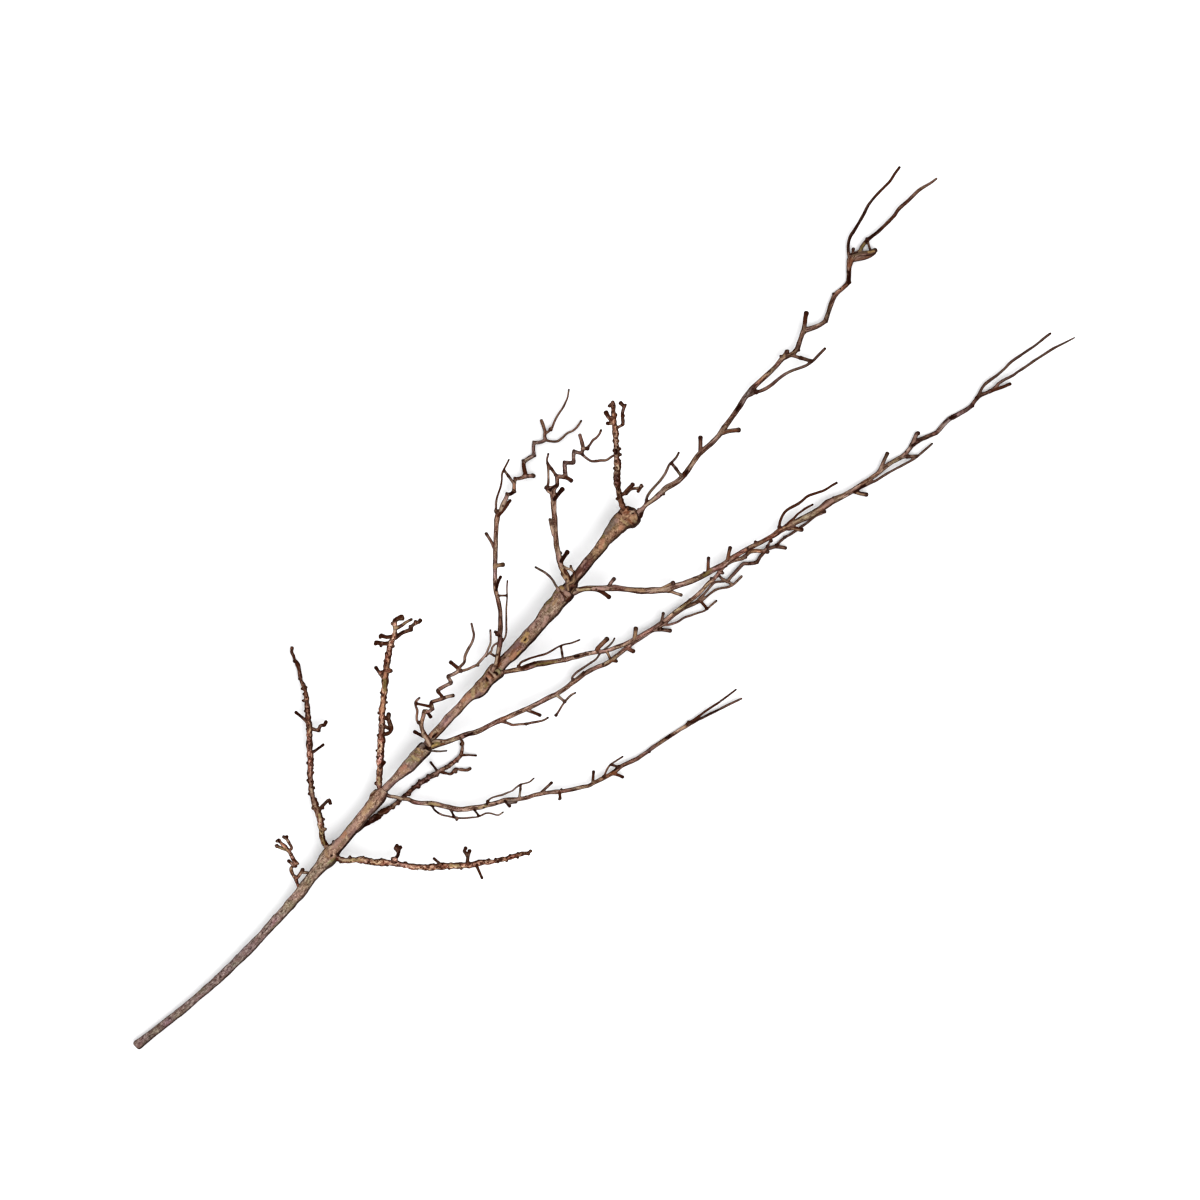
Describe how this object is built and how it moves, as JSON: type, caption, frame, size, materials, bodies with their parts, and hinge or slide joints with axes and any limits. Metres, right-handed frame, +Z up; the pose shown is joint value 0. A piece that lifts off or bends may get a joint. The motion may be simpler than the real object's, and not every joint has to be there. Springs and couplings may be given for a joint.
{
  "type": "forsythia branch",
  "caption": "Bare woody branch cut for a vase, lying on its side: a jointed stem with swollen forks, long twiggy side shoots, short stubs and knobbly buds.",
  "frame": {"origin": "middle of the footprint, on the surface that the branch lies on", "axes": "+X along the stem from the cut end towards the tips, +Y to the left of the stem seen from above, +Z up from the surface"},
  "size_m": [1.1778, 0.3556, 0.0633],
  "materials": {
    "stem_bark": "matt pinkish grey-brown bark with olive and tan patches",
    "knobby_bark": "matt dark reddish brown bark with near-black knobs",
    "smooth_bark": "satin mid brown bark with tan streaks and darker tips"
  },
  "bodies": {
    "root": {"stem_1": "stem_bark", "stem_2": "stem_bark", "stem_3": "stem_bark", "stem_4": "stem_bark", "stem_5": "stem_bark", "spur": "knobby_bark", "branch_1_left": "knobby_bark", "branch_1_right": "knobby_bark", "branch_1_under": "knobby_bark", "branch_2_left": "knobby_bark", "branch_2_right": "smooth_bark", "branch_3_left": "smooth_bark", "branch_3_right": "smooth_bark", "branch_4_left": "smooth_bark", "branch_4_right": "smooth_bark", "branch_5_left": "smooth_bark", "branch_5_right": "smooth_bark", "branch_6_left": "knobby_bark", "leader": "smooth_bark"}
  },
  "joints": []
}
